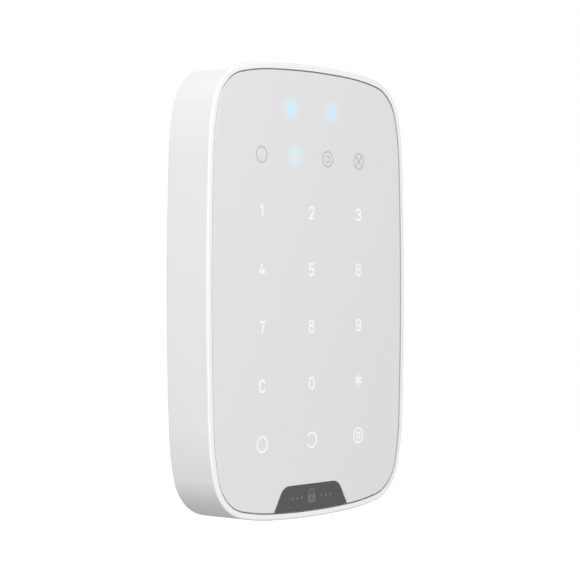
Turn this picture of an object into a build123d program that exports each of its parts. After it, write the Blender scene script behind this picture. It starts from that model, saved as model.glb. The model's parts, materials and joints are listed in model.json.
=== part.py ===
from build123d import *
import os
from math import cos, radians, sin, tan

# Wall-mounted alarm keypad with touch keys, on a hook-on wall bracket.
# Millimetres. X runs to the right as a user sees it, Z up, and Y into the wall.
# The wall is the plane Y = 0, so everything lies at negative Y and the face looks along -Y.
# The origin is the centre of the bracket's wall-screw pattern.

os.makedirs("parts", exist_ok=True)

# ---------------------------------------------------------------- driving dimensions
WIDTH = 113.0
HEIGHT = 165.0
DEPTH = 20.0

# One quadrant of the body outline: five arcs, each tangent to the next. TURNS are the
# directions, in degrees turned from the top edge, at which one arc hands over to the next.
TURNS = (0.0, 3.4, 11.7, 75.5, 87.6, 90.0)
SHOULDER_TOP_R = 111.0
CORNER_R = 18.25
SHOULDER_SIDE_R = 83.6

# Housing shell
WALL = 2.2
LIP = 2.15
LEDGE_INSET = 6.0
SKIRT_BACK = -0.4
FRONT = -DEPTH
FRONT_EDGE_R = 0.75
REAR_EDGE_R = 0.6
LEDGE_FRONT = -18.7
LEDGE_BACK = -17.3

# Face stack, front to back
PANEL_FRONT = -19.9
PANEL_T = 1.0
PANEL_BACK = PANEL_FRONT + PANEL_T
PANEL_INSET = 2.65
PANEL_EDGE = 0.12
INLAY_DEPTH = 0.15
GUIDE_FRONT = -18.85
GUIDE_T = 0.4
GUIDE_W = 88.0
GUIDE_LOW, GUIDE_HIGH = -63.0, 72.0
GUIDE_Z = (GUIDE_LOW + GUIDE_HIGH) / 2
TOUCH_FRONT = -18.4
TOUCH_T = 0.5
TOUCH_BACK = TOUCH_FRONT + TOUCH_T
TOUCH_INSET = 6.3

# Face layout: key columns and rows, the indicator row and the arrow heads
KEY_PITCH_X = 27.65
KEY_PITCH_Z = 20.73
TOP_ROW_Z = 28.6
KEY_ROWS = ("123", "456", "789", "C0*")
SYMBOL_ROW_Z = TOP_ROW_Z - 4 * KEY_PITCH_Z
MODE_ROW_Z = 48.65
MODE_PITCH_X = 18.6
ARROW_Z = 66.0
ARROW_TIP_X, ARROW_BASE_X = 7.0, 14.2
ARROW_HEIGHT = 8.4
ARROW_CORNER_R = 0.8

# LEDs at the ends of each lit row, which shine into the light guide's edge
LED_W, LED_D, LED_H = 2.8, 1.4, 0.4
LED_X = GUIDE_W / 2 + 1.0
LED_ROWS = [MODE_ROW_Z] + [TOP_ROW_Z - row * KEY_PITCH_Z for row in range(5)]

# Reader coil on the touch board's back
COIL_W, COIL_H, COIL_Z = 84.0, 62.0, 38.0
COIL_R = 6.0
COIL_LINE, COIL_PITCH, COIL_T = 0.6, 1.2, 0.12
COIL_TURNS = 4

# Character strokes: half width and half height of the stroke's centre line
STROKE = 0.76
CHAR_A = 1.26
CHAR_B = 2.01
STAR_ARM = 4.6

# Symbols: outer diameters and line widths
TOUCH_RING_D, TOUCH_RING_LINE = 6.15, 0.75
TOUCH_DOT_RING_D = 2.8
MODE_RING_D, MODE_RING_LINE = 6.3, 0.65
MODE_ARC_D = 2.9
CROSS_ARM = 5.6
LIT_RING_D, LIT_RING_LINE = 6.8, 1.3

# Badge in the panel's lower edge
BADGE_TOP_Z = -70.45
BADGE_TOP_X = 15.8
BADGE_SLANT = 30.0
BADGE_CORNER_R = 5.8
BADGE_GAP = 0.1
BADGE_FRONT = -19.75
BADGE_EDGE = 0.15
EMBLEM_T = 0.15
EMBLEM_Z = -75.1

# Rear cover, with the battery hump
COVER_INSET = WALL + 0.3
COVER_FRONT = -3.6
COVER_BACK = -2.2
COVER_T = COVER_BACK - COVER_FRONT
HUMP_W, HUMP_H = 88.0, 42.0
BATTERY_Z = -38.0
HUMP_BACK = -0.3
HUMP_WALL = 0.75
LABEL_W, LABEL_H, LABEL_T = 62.0, 28.0, 0.12
VENT_X, VENT_Z = -22.0, 24.0

# Wall bracket
BRACKET_FRONT = -2.0
BRACKET_GAP = 0.6
SLIDE = 8.0
WALL_HOLE_X, WALL_HOLE_Z = 32.0, 65.0
WALL_HOLE_R = 2.25
WALL_SINK_R = 3.6
UPPER_HOOK = (43.0, 52.0)
LOWER_HOOK = (21.0, -68.2)
HOOK_W = 6.0
HOOK_POST_H = 2.2
HOOK_FINGER_H = 6.8
HOOK_FRONT, HOOK_BACK = -5.4, -3.9
WINDOW_GAP = 0.6
SIDE_WINDOW = (28.0, 23.0)
SIDE_WINDOW_W, SIDE_WINDOW_H = 20.0, 28.0
FLANGE_HALF = 13.3
FLANGE_T = 3.4
FLANGE_FRONT = -9.2
FLANGE_GAP = 0.3
FLANGE_NOTCH_W = 2 * (FLANGE_HALF + FLANGE_GAP)

# Break-away tamper tab of the bracket and the plunger that rides on it
TAB_HOLE_R = 1.75
TAB_SINK_R = 2.9
TAB_HOLE_Z = 15.0
TAB_W, TAB_H, TAB_Z = 24.0, 32.0, 23.5
PERFORATION_W, PERFORATION_L, PERFORATION_PITCH = 1.0, 4.2, 5.4
PLUNGER_Z = 26.0
PLUNGER_R = 1.5
PLUNGER_TRAVEL = 1.4
PLUNGER_GAP = 0.15
PLUNGER_STEM_R, PLUNGER_FLANGE_R = 0.85, 2.4
PLUNGER_TIP = BRACKET_FRONT - PLUNGER_GAP
PLUNGER_NOSE = 0.45
SWITCH_TOP = -8.7
FLANGE_REST = COVER_FRONT - PLUNGER_TRAVEL - 0.1
SPRING_END = FLANGE_REST - 0.8

# Retaining screw, its captive washer and its insert, on a vertical axis in the bottom edge
SCREW_Y = -5.0
SCREW_R = 1.45
SCREW_NECK_R = 1.24
SCREW_HEAD_R = 2.7
HEAD_H = 1.5
WASHER_R, WASHER_T = 3.0, 0.5
FLANGE_HOLE_R = 1.7
COUNTERBORE_R = 3.3
WASHER_TOP_Z = -80.25
WASHER_LOW_Z = WASHER_TOP_Z - WASHER_T
SCREW_TIP_Z = -70.4
INSERT_R = 2.2
INSERT_H = 7.0
BOSS_TOP_Z = -68.8
BOSS_LOW_Z = WASHER_TOP_Z + 1.85

# Fixings inside
CASE_SCREWS = ((49.6, 36.0), (50.0, -8.0), (47.6, -62.0))
HOLDER_SCREW = (48.4, BATTERY_Z)
BOSS_R = 3.0
PILOT_R = 1.0
PAN_HEAD_R = 2.2
PAN_HEAD_H = 1.4
WELL_FLOOR = -4.0

# Main board
BOARD_FRONT, BOARD_BACK = -11.8, -10.2
BOARD_LOW, BOARD_HIGH, BOARD_HALF = -15.6, 66.0, 45.0
BOARD_SCREWS = ((32.0, 61.0), (40.0, -10.0))
POWER_X, POWER_Z = 30.0, -12.4
POWER_SWITCH_TOP = -8.9
BUTTON_BACK = COVER_BACK - 0.2
SOUNDER_R, SOUNDER_H = 6.5, 4.0
SHIELD_X, SHIELD_Z = -18.0, 44.0
SHIELD_W, SHIELD_H, SHIELD_D, SHIELD_T = 25.0, 20.0, 2.6, 0.3

# Chips: X and Z of the middle, width, height and thickness
CHIPS = (
    (16.0, 44.0, 10.0, 10.0, 1.2),
    (16.0, 24.0, 6.0, 6.0, 0.9),
    (30.0, 24.0, 6.0, 6.0, 2.8),
    (34.0, 44.0, 5.0, 6.2, 1.5),
    (-34.0, 14.0, 5.0, 4.0, 1.4),
    (-18.0, 12.0, 7.0, 5.0, 1.0),
    (SHIELD_X, SHIELD_Z, 8.0, 8.0, 0.9),
)

# Ribbon from the touch board to its connector
FLEX_T, FLEX_W = 0.2, 12.0
FLEX_Y0 = TOUCH_BACK + FLEX_T / 2 + COIL_T
FLEX_Y1 = BOARD_FRONT - 1.1
FLEX_TURN_Z = -8.0
CONNECTOR_Z, CONNECTOR_H = -2.0, 5.0

# Battery cells, four of CR123A size, in two rows of two
CELL_R = 8.3
CELL_Y = -9.45
CELL_ROWS = (BATTERY_Z + 9.2, BATTERY_Z - 9.2)
CELL_START, CELL_END = 2.65, 35.95
NUB_R = 3.2
CONTACT_IN, CONTACT_OUT = 1.0, 39.8
CONTACT_T, CONTACT_W = 0.4, 10.0

# Battery holder, its ears and its leads
HOLDER_HALF_W, HOLDER_HALF_H = 41.8, 19.4
HOLDER_FRONT, HOLDER_BACK = -16.8, -3.9
HOLDER_EAR_BACK, HOLDER_EAR_T = -10.4, 1.6
LEAD_R = 0.55
LEAD_Y = -14.6


# ---------------------------------------------------------------- shared shapes
def level(y):
    """Sketch plane parallel to the wall at Y = y. Its axes are X and Z, and it extrudes to the front."""
    return Plane.XZ.offset(-y)


def floor_plane(z):
    """Horizontal sketch plane at Z = z. Its axes are X and Y, and it extrudes upwards."""
    return Plane.XY.offset(z)


def side_plane(x):
    """Sketch plane across the body at X = x. Its axes are Y and Z, and it extrudes towards +X."""
    return Plane.YZ.offset(x)


def outline_radii():
    """Radii of the five arcs of a quadrant. The first and the last close it on WIDTH and HEIGHT."""
    turns = [radians(turn) for turn in TURNS]
    across = [sin(b) - sin(a) for a, b in zip(turns, turns[1:])]
    down = [cos(a) - cos(b) for a, b in zip(turns, turns[1:])]
    middle = (SHOULDER_TOP_R, CORNER_R, SHOULDER_SIDE_R)
    width_left = WIDTH / 2 - sum(r * step for r, step in zip(middle, across[1:4]))
    height_left = HEIGHT / 2 - sum(r * step for r, step in zip(middle, down[1:4]))
    scale = across[0] * down[4] - across[4] * down[0]
    top = (width_left * down[4] - height_left * across[4]) / scale
    side = (height_left * across[0] - width_left * down[0]) / scale
    return (top, *middle, side)


OUTLINE_RADII = outline_radii()


def body_face(inset, mode=Mode.ADD, rise=0.0):
    """Face inside the body outline moved inwards by inset, for the sketch being drawn."""
    with BuildLine() as ring:
        start, heading = (0, HEIGHT / 2 - inset), (1, 0)
        for radius, turn, next_turn in zip(OUTLINE_RADII, TURNS, TURNS[1:]):
            arc = JernArc(start, heading, radius - inset, turn - next_turn)
            start, heading = arc @ 1, arc % 1
        mirror(about=Plane.YZ)
        mirror(about=Plane.XZ)
    with Locations((0, rise)):
        add(make_face(ring.line, mode=Mode.PRIVATE), mode=mode)


def both_sides(points):
    """Each (x, z) place and its mirror image."""
    return [(side * x, z) for x, z in points for side in (-1, 1)]


def save(builder, name):
    """Label the finished piece and write it to its own STEP file."""
    builder.part.label = name
    export_step(builder.part, f"parts/{name}.step")


# ---------------------------------------------------------------- characters and symbols
def stroke(points, corner_radii, close=False):
    """One pen stroke through points given in half widths and half heights, with rounded corners."""
    placed = [(x * CHAR_A, z * CHAR_B) for x, z in points]
    with BuildLine() as pen:
        if corner_radii:
            FilletPolyline(*placed, radius=corner_radii, close=close)
        else:
            Line(*placed)
    trace(pen.line, line_width=STROKE)


def draw_character(character):
    """Condensed, square-shouldered characters, drawn around the sketch's own origin."""
    soft, tight = 0.95, 0.6
    if character == "1":
        stroke([(-0.75, 0.62), (0.2, 1), (0.2, -1)], [0])
    elif character == "2":
        stroke([(-1, 0.5), (-1, 1), (1, 1), (1, 0.12), (-1, -1), (1, -1)], [soft, soft, tight, 0])
    elif character == "3":
        stroke([(-1, 0.5), (-1, 1), (1, 1), (1, 0.04), (-0.3, 0.04)], [soft, soft, tight])
        stroke([(-0.3, 0.04), (1, 0.04), (1, -1), (-1, -1), (-1, -0.5)], [tight, soft, soft])
    elif character == "4":
        stroke([(0.1, 1), (-1, -0.45), (1.25, -0.45)], [0])
        stroke([(0.55, 0.2), (0.55, -1)], [])
    elif character == "5":
        stroke([(1, 1), (-0.9, 1), (-0.9, 0.16), (1, 0.16), (1, -1), (-1, -1), (-1, -0.5)],
               [0, 0, soft, soft, soft])
    elif character == "6":
        stroke([(1, 0.5), (1, 1), (-1, 1), (-1, -0.4)], [soft, soft])
        stroke([(-1, 0.12), (1, 0.12), (1, -1), (-1, -1)], soft, close=True)
    elif character == "7":
        stroke([(-1, 1), (1, 1), (-0.2, -1)], [0])
    elif character == "8":
        stroke([(-0.9, 1), (0.9, 1), (0.9, 0.06), (-0.9, 0.06)], 0.8, close=True)
        stroke([(-1, 0.06), (1, 0.06), (1, -1), (-1, -1)], 0.8, close=True)
    elif character == "9":
        stroke([(-1, -0.5), (-1, -1), (1, -1), (1, 0.4)], [soft, soft])
        stroke([(-1, 1), (1, 1), (1, -0.12), (-1, -0.12)], soft, close=True)
    elif character == "0":
        stroke([(-1, 1), (1, 1), (1, -1), (-1, -1)], soft, close=True)
    elif character == "C":
        stroke([(1, 0.45), (1, 1), (-1, 1), (-1, -1), (1, -1), (1, -0.45)], [soft] * 4)
    elif character == "*":
        for turn in (90, 30, 150):
            Rectangle(STAR_ARM, STROKE, rotation=turn)


def ring(outer_diameter, width):
    """Closed ring around the sketch's origin."""
    Circle(outer_diameter / 2)
    Circle(outer_diameter / 2 - width, mode=Mode.SUBTRACT)


def open_ring(outer_diameter, width, gap=64.0):
    """Ring that is open on its left."""
    with BuildLine() as pen:
        CenterArc((0, 0), (outer_diameter - width) / 2, gap / 2 - 180, 360 - gap)
    trace(pen.line, line_width=width)


def on_face(draw, x, z):
    """Sketch of one printed mark, drawn by draw() and moved to its place on the face."""
    with BuildSketch(mode=Mode.PRIVATE) as mark:
        draw()
    return mark.sketch.moved(Location((x, z, 0)))


def key_marks():
    """Digits and function characters of the key field."""
    marks = []
    for row, characters in enumerate(KEY_ROWS):
        for column, character in enumerate(characters):
            x = (column - 1) * KEY_PITCH_X
            z = TOP_ROW_Z - row * KEY_PITCH_Z
            marks.append(on_face(lambda: draw_character(character), x, z))
    return marks


def touch_symbol_marks():
    """Ring, open ring and double ring under the key field."""
    def single():
        ring(TOUCH_RING_D, TOUCH_RING_LINE)

    def opened():
        open_ring(TOUCH_RING_D, TOUCH_RING_LINE)

    def double():
        ring(TOUCH_RING_D, TOUCH_RING_LINE)
        ring(TOUCH_DOT_RING_D, TOUCH_RING_LINE)

    return [
        on_face(single, -KEY_PITCH_X, SYMBOL_ROW_Z),
        on_face(opened, 0, SYMBOL_ROW_Z),
        on_face(double, KEY_PITCH_X, SYMBOL_ROW_Z),
    ]


def mode_symbol_marks():
    """Indicators that are off: ring, ring with a small open ring, and crossed ring."""
    def empty():
        ring(MODE_RING_D, MODE_RING_LINE)

    def partial():
        ring(MODE_RING_D, MODE_RING_LINE)
        open_ring(MODE_ARC_D, MODE_RING_LINE, gap=90)

    def crossed():
        ring(MODE_RING_D, MODE_RING_LINE)
        for turn in (45, 135):
            Rectangle(CROSS_ARM, MODE_RING_LINE, rotation=turn)

    return [
        on_face(empty, -1.5 * MODE_PITCH_X, MODE_ROW_Z),
        on_face(partial, 0.5 * MODE_PITCH_X, MODE_ROW_Z),
        on_face(crossed, 1.5 * MODE_PITCH_X, MODE_ROW_Z),
    ]


def mode_light_mark():
    """The one indicator that is lit: a bold open ring."""
    def lit():
        open_ring(LIT_RING_D, LIT_RING_LINE)

    return [on_face(lit, -0.5 * MODE_PITCH_X, MODE_ROW_Z)]


def arrow_marks():
    """Two arrow heads that point at each other across the card-reading spot."""
    marks = []
    for side in (-1, 1):
        with BuildSketch(mode=Mode.PRIVATE) as head:
            with BuildLine():
                Polyline(
                    (side * ARROW_TIP_X, ARROW_Z),
                    (side * ARROW_BASE_X, ARROW_Z + ARROW_HEIGHT / 2),
                    (side * ARROW_BASE_X, ARROW_Z - ARROW_HEIGHT / 2),
                    close=True,
                )
            make_face()
            fillet(head.vertices(), radius=ARROW_CORNER_R)
        marks.append(head.sketch)
    return marks


def badge_face(gap=0.0, mode=Mode.ADD):
    """Badge outline: slanted sides, rounded shoulders, and the panel's own lower edge."""
    low = -HEIGHT / 2
    rise = BADGE_TOP_Z + gap - low
    base_x = BADGE_TOP_X + gap + rise * tan(radians(BADGE_SLANT))
    with BuildSketch(mode=Mode.PRIVATE) as badge_sketch:
        with BuildLine():
            Polyline(
                (-base_x, low),
                (-BADGE_TOP_X - gap, BADGE_TOP_Z + gap),
                (BADGE_TOP_X + gap, BADGE_TOP_Z + gap),
                (base_x, low),
                close=True,
            )
        make_face()
        fillet(badge_sketch.vertices().group_by(Axis.Y)[-1], radius=BADGE_CORNER_R)
        body_face(PANEL_INSET, mode=Mode.INTERSECT)
    add(badge_sketch.sketch, mode=mode)


# ---------------------------------------------------------------- housing
with BuildPart() as housing:
    with BuildSketch(level(SKIRT_BACK)):
        body_face(0)
    extrude(amount=SKIRT_BACK - FRONT)
    fillet(housing.faces().sort_by(Axis.Y)[0].edges(), radius=FRONT_EDGE_R)
    fillet(housing.faces().sort_by(Axis.Y)[-1].edges(), radius=REAR_EDGE_R)

    # Hollow behind the ledge, seat for the panel and the opening inside the ledge
    with BuildSketch(level(SKIRT_BACK)):
        body_face(WALL)
    extrude(amount=SKIRT_BACK - LEDGE_BACK, mode=Mode.SUBTRACT)
    with BuildSketch(level(LEDGE_FRONT)):
        body_face(LIP)
    extrude(amount=LEDGE_FRONT - FRONT, mode=Mode.SUBTRACT)
    with BuildSketch(level(LEDGE_BACK)):
        body_face(LEDGE_INSET)
    extrude(amount=LEDGE_BACK - LEDGE_FRONT, mode=Mode.SUBTRACT)

    # Screw bosses, tied to the side wall by a rib
    for places, top in ((CASE_SCREWS, -5.5), ((HOLDER_SCREW,), -12.0)):
        with BuildSketch(level(top)):
            for x, z in both_sides(places):
                outwards = 1 if x > 0 else -1
                with Locations((x, z)):
                    Circle(BOSS_R)
                with Locations((x + outwards * 2.6, z)):
                    Rectangle(5.2, 2.4)
            body_face(WALL - 0.4, mode=Mode.INTERSECT)
        extrude(amount=top - LEDGE_BACK)
        with BuildSketch(level(top)):
            with Locations(*both_sides(places)):
                Circle(PILOT_R)
        extrude(amount=5.0, mode=Mode.SUBTRACT)

    # Notch in the bottom wall for the bracket's flange
    with BuildSketch(floor_plane(-HEIGHT / 2 - 1)):
        with Locations((0, FLANGE_FRONT - FLANGE_GAP)):
            Rectangle(FLANGE_NOTCH_W, 12, align=(Align.CENTER, Align.MIN))
    extrude(amount=WALL + 3, mode=Mode.SUBTRACT)
save(housing, "housing")

# ---------------------------------------------------------------- face
INLAYS = {
    "key_legends": key_marks(),
    "touch_symbols": touch_symbol_marks(),
    "mode_symbols": mode_symbol_marks(),
    "mode_light": mode_light_mark(),
    "arrow_lights": arrow_marks(),
}

with BuildPart() as front_panel:
    with BuildSketch(level(PANEL_BACK)):
        body_face(PANEL_INSET)
        badge_face(BADGE_GAP, mode=Mode.SUBTRACT)
    extrude(amount=PANEL_T)
    chamfer(front_panel.faces().sort_by(Axis.Y)[0].edges(), length=PANEL_EDGE)
    with BuildSketch(level(PANEL_FRONT + INLAY_DEPTH)):
        for marks in INLAYS.values():
            add(marks)
    extrude(amount=INLAY_DEPTH, mode=Mode.SUBTRACT)
save(front_panel, "front_panel")

for name, marks in INLAYS.items():
    with BuildPart() as inlay:
        with BuildSketch(level(PANEL_FRONT + INLAY_DEPTH)):
            add(marks)
        extrude(amount=INLAY_DEPTH)
    save(inlay, name)

with BuildPart() as badge:
    with BuildSketch(level(PANEL_BACK)):
        badge_face()
    extrude(amount=PANEL_BACK - BADGE_FRONT)
    chamfer(badge.faces().sort_by(Axis.Y)[0].edges(), length=BADGE_EDGE)
save(badge, "badge")

# Raised motif: a closed padlock between two rows of code dots
with BuildPart() as badge_emblem:
    with BuildSketch(level(BADGE_FRONT)):
        with Locations((0, EMBLEM_Z - 0.7)):
            RectangleRounded(4.4, 3.2, 0.6)
            Circle(0.55, mode=Mode.SUBTRACT)
        with BuildLine() as shackle:
            Line((-1.3, EMBLEM_Z + 0.8), (-1.3, EMBLEM_Z + 1.5))
            RadiusArc((-1.3, EMBLEM_Z + 1.5), (1.3, EMBLEM_Z + 1.5), 1.3)
            Line((1.3, EMBLEM_Z + 1.5), (1.3, EMBLEM_Z + 0.8))
        trace(shackle.line, line_width=0.6)
        with Locations(*both_sides((x, EMBLEM_Z) for x in (5.6, 8.2, 10.8))):
            Circle(0.6)
    extrude(amount=EMBLEM_T)
save(badge_emblem, "badge_emblem")

with BuildPart() as panel_adhesive:
    with BuildSketch(level(LEDGE_FRONT)):
        body_face(PANEL_INSET + 0.3)
        body_face(LEDGE_INSET - 0.4, mode=Mode.SUBTRACT)
    extrude(amount=LEDGE_FRONT - PANEL_BACK)
save(panel_adhesive, "panel_adhesive")

# ---------------------------------------------------------------- lighting and touch layer
with BuildPart() as light_guide:
    with BuildSketch(level(GUIDE_FRONT + GUIDE_T)):
        with Locations((0, GUIDE_Z)):
            RectangleRounded(GUIDE_W, GUIDE_HIGH - GUIDE_LOW, 9)
    extrude(amount=GUIDE_T)
save(light_guide, "light_guide")

with BuildPart() as key_leds:
    with BuildSketch(level(TOUCH_FRONT)):
        with Locations(*both_sides((LED_X, z) for z in LED_ROWS)):
            Rectangle(LED_D, LED_W)
        with Locations(*both_sides(((ARROW_BASE_X, GUIDE_HIGH + 0.9),))):
            Rectangle(LED_W, LED_D)
    extrude(amount=LED_H)
save(key_leds, "key_leds")

with BuildPart() as touch_board:
    with BuildSketch(level(TOUCH_BACK)):
        body_face(TOUCH_INSET)
    extrude(amount=TOUCH_T)
save(touch_board, "touch_board")

# Reader coil: flat turns around the upper half of the touch board's back
with BuildPart() as reader_antenna:
    with BuildSketch(level(TOUCH_BACK + COIL_T)):
        for turn in range(COIL_TURNS):
            width = COIL_W - 2 * turn * COIL_PITCH
            height = COIL_H - 2 * turn * COIL_PITCH
            with Locations((0, COIL_Z)):
                RectangleRounded(width, height, COIL_R)
                RectangleRounded(
                    width - 2 * COIL_LINE, height - 2 * COIL_LINE, COIL_R - COIL_LINE, mode=Mode.SUBTRACT
                )
    extrude(amount=COIL_T)
save(reader_antenna, "reader_antenna")

# ---------------------------------------------------------------- rear cover
HOOKS = both_sides((UPPER_HOOK, LOWER_HOOK))

with BuildPart() as rear_cover:
    with BuildSketch(level(COVER_BACK)):
        body_face(COVER_INSET)
        with Locations((0, BOSS_LOW_Z)):
            Rectangle(FLANGE_NOTCH_W, 10, align=(Align.CENTER, Align.MAX), mode=Mode.SUBTRACT)
    extrude(amount=COVER_T)

    # Standoffs for the main board and the block that holds the retaining screw's insert
    with BuildSketch(level(COVER_FRONT)):
        with Locations(*both_sides(BOARD_SCREWS)):
            Circle(2.8)
    extrude(amount=COVER_FRONT - BOARD_BACK)
    with BuildSketch(level(COVER_BACK)):
        with Locations((0, BOSS_LOW_Z)):
            Rectangle(11, BOSS_TOP_Z - BOSS_LOW_Z, align=(Align.CENTER, Align.MIN))
    extrude(amount=COVER_BACK - FLANGE_FRONT)

    # Screw wells
    with BuildSketch(level(COVER_FRONT)):
        with Locations(*both_sides(CASE_SCREWS)):
            Circle(3.3)
    extrude(amount=1.8)

    # Battery hump and its cavity
    with BuildSketch(level(HUMP_BACK)):
        with Locations((0, BATTERY_Z)):
            RectangleRounded(HUMP_W, HUMP_H, 3)
    extrude(amount=HUMP_BACK - COVER_BACK)
    chamfer(rear_cover.faces().sort_by(Axis.Y)[-1].edges(), length=0.5)
    with BuildSketch(level(HUMP_BACK - HUMP_WALL)):
        with Locations((0, BATTERY_Z)):
            RectangleRounded(HUMP_W - 1.8, HUMP_H - 1.8, 2.2)
    extrude(amount=HUMP_BACK - HUMP_WALL - COVER_FRONT, mode=Mode.SUBTRACT)

    # Screw clearance holes with counterbores, sunk from the back
    with BuildSketch(level(COVER_BACK)):
        with Locations(*both_sides(CASE_SCREWS)):
            Circle(2.5)
    extrude(amount=COVER_BACK - WELL_FLOOR, mode=Mode.SUBTRACT)
    with BuildSketch(level(COVER_BACK)):
        with Locations(*both_sides(CASE_SCREWS)):
            Circle(PILOT_R + 0.3)
    extrude(amount=3.4, mode=Mode.SUBTRACT)
    with BuildSketch(level(BOARD_BACK)):
        with Locations(*both_sides(BOARD_SCREWS)):
            Circle(PILOT_R)
    extrude(amount=-5.0, mode=Mode.SUBTRACT)

    # Hook slots: the post's own height, the slide below it and a little room
    with BuildSketch(level(COVER_BACK)):
        for x, z in HOOKS:
            low, high = z - SLIDE - 0.3, z + HOOK_POST_H + 0.2
            with Locations((x, (low + high) / 2)):
                RectangleRounded(HOOK_W + 1.0, high - low, 0.8)
    extrude(amount=COVER_T, mode=Mode.SUBTRACT)

    # Holes for the tamper plunger and the power button, and the sounder's vents
    with BuildSketch(level(COVER_BACK)):
        with Locations((0, PLUNGER_Z)):
            Circle(PLUNGER_R + 0.08)
        with Locations((POWER_X, POWER_Z)):
            Circle(2.8)
        with Locations((VENT_X, VENT_Z)):
            with GridLocations(3.0, 3.0, 3, 3):
                Circle(0.6)
    extrude(amount=COVER_T, mode=Mode.SUBTRACT)

    # Bore for the insert, blind towards the top
    with BuildSketch(floor_plane(BOSS_LOW_Z)):
        with Locations((0, SCREW_Y)):
            Circle(INSERT_R)
    extrude(amount=INSERT_H + 1.8, mode=Mode.SUBTRACT)
save(rear_cover, "rear_cover")

with BuildPart() as threaded_insert:
    with BuildSketch(floor_plane(BOSS_LOW_Z + 0.1)):
        with Locations((0, SCREW_Y)):
            Circle(INSERT_R - 0.01)
            Circle(SCREW_R + 0.05, mode=Mode.SUBTRACT)
    extrude(amount=INSERT_H)
    with BuildSketch(floor_plane(BOSS_LOW_Z + 0.1 + INSERT_H / 2 - 0.5)):
        with Locations((0, SCREW_Y)):
            Circle(INSERT_R + 0.2)
            Circle(INSERT_R - 0.3, mode=Mode.SUBTRACT)
    extrude(amount=1.0, mode=Mode.SUBTRACT)
save(threaded_insert, "threaded_insert")

with BuildPart() as rear_label:
    with BuildSketch(level(HUMP_BACK + LABEL_T)):
        with Locations((0, BATTERY_Z)):
            RectangleRounded(LABEL_W, LABEL_H, 2)
    extrude(amount=LABEL_T)
save(rear_label, "rear_label")

# ---------------------------------------------------------------- screws inside
def pan_screws(places, seat, towards_front, length):
    """Pan-head screws along Y, whose heads rest on Y = seat and whose shanks run from there."""
    along = 1 if towards_front else -1
    with BuildSketch(level(seat)) as heads:
        with Locations(*places):
            Circle(PAN_HEAD_R)
    extrude(heads.sketch, amount=-along * PAN_HEAD_H)
    outer = Axis.Y if towards_front else -Axis.Y
    rims = BuildPart._get_context().edges().filter_by(GeomType.CIRCLE).group_by(outer)[-1]
    fillet(rims, radius=0.4)
    with BuildSketch(level(seat)) as shanks:
        with Locations(*places):
            Circle(PILOT_R)
    extrude(shanks.sketch, amount=along * length)
    with BuildSketch(level(seat + along * PAN_HEAD_H)) as drives:
        with Locations(*places):
            Rectangle(PAN_HEAD_R * 1.1, 0.5)
            Rectangle(0.5, PAN_HEAD_R * 1.1)
    extrude(drives.sketch, amount=along * 0.7, mode=Mode.SUBTRACT)


with BuildPart() as case_screws:
    pan_screws(both_sides(CASE_SCREWS), WELL_FLOOR, True, 6.0)
save(case_screws, "case_screws")

with BuildPart() as board_screws:
    pan_screws(both_sides(BOARD_SCREWS), BOARD_FRONT, False, 5.4)
save(board_screws, "board_screws")

with BuildPart() as holder_screws:
    pan_screws(both_sides((HOLDER_SCREW,)), HOLDER_EAR_BACK, True, 5.4)
save(holder_screws, "holder_screws")

# ---------------------------------------------------------------- main board and what it carries
with BuildPart() as main_board:
    with BuildSketch(level(BOARD_BACK)) as board_sketch:
        with BuildLine():
            Polyline(
                (-BOARD_HALF, BOARD_LOW),
                (-BOARD_HALF, BOARD_HIGH),
                (BOARD_HALF, BOARD_HIGH),
                (BOARD_HALF, BOARD_LOW),
                close=True,
            )
        make_face()
        fillet(board_sketch.vertices().group_by(Axis.Y)[-1], radius=8)
        with Locations(*both_sides(BOARD_SCREWS)):
            Circle(PILOT_R + 0.3, mode=Mode.SUBTRACT)
    extrude(amount=BOARD_BACK - BOARD_FRONT)
save(main_board, "main_board")

with BuildPart() as radio_shield:
    with BuildSketch(level(BOARD_FRONT)):
        with Locations((SHIELD_X, SHIELD_Z)):
            RectangleRounded(SHIELD_W, SHIELD_H, 0.8)
    extrude(amount=SHIELD_D)
    with BuildSketch(level(BOARD_FRONT)):
        with Locations((SHIELD_X, SHIELD_Z)):
            RectangleRounded(SHIELD_W - 2 * SHIELD_T, SHIELD_H - 2 * SHIELD_T, 0.6)
    extrude(amount=SHIELD_D - SHIELD_T, mode=Mode.SUBTRACT)
    with BuildSketch(level(BOARD_FRONT - SHIELD_D)):
        with Locations((SHIELD_X, SHIELD_Z)):
            with GridLocations(3.4, 3.4, 6, 4):
                Circle(0.5)
    extrude(amount=-SHIELD_T - 0.1, mode=Mode.SUBTRACT)
save(radio_shield, "radio_shield")

with BuildPart() as board_chips:
    for x, z, width, height, thickness in CHIPS:
        with BuildSketch(level(BOARD_FRONT)):
            with Locations((x, z)):
                Rectangle(width, height)
        extrude(amount=thickness)
save(board_chips, "board_chips")

# Antennas: a bent strip at each upper corner, standing on two feet on the board
with BuildPart() as radio_antennas:
    with BuildSketch(level(BOARD_FRONT)):
        for side in (-1, 1):
            with Locations((side * 24, 70.6)):
                Rectangle(26, 2.4)
            with Locations((side * 12.2, 66.5), (side * 18.0, 66.5)):
                Rectangle(2.4, 8)
    extrude(amount=0.4)
save(radio_antennas, "radio_antennas")

with BuildPart() as sounder:
    with BuildSketch(level(BOARD_BACK + SOUNDER_H)):
        with Locations((VENT_X, VENT_Z)):
            Circle(SOUNDER_R)
    extrude(amount=SOUNDER_H)
    with BuildSketch(level(BOARD_BACK + SOUNDER_H)):
        with Locations((VENT_X, VENT_Z)):
            Circle(1.2)
    extrude(amount=1.2, mode=Mode.SUBTRACT)
    fillet(sounder.edges().filter_by(GeomType.CIRCLE).sort_by(SortBy.LENGTH)[-1], radius=0.5)
save(sounder, "sounder")

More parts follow.
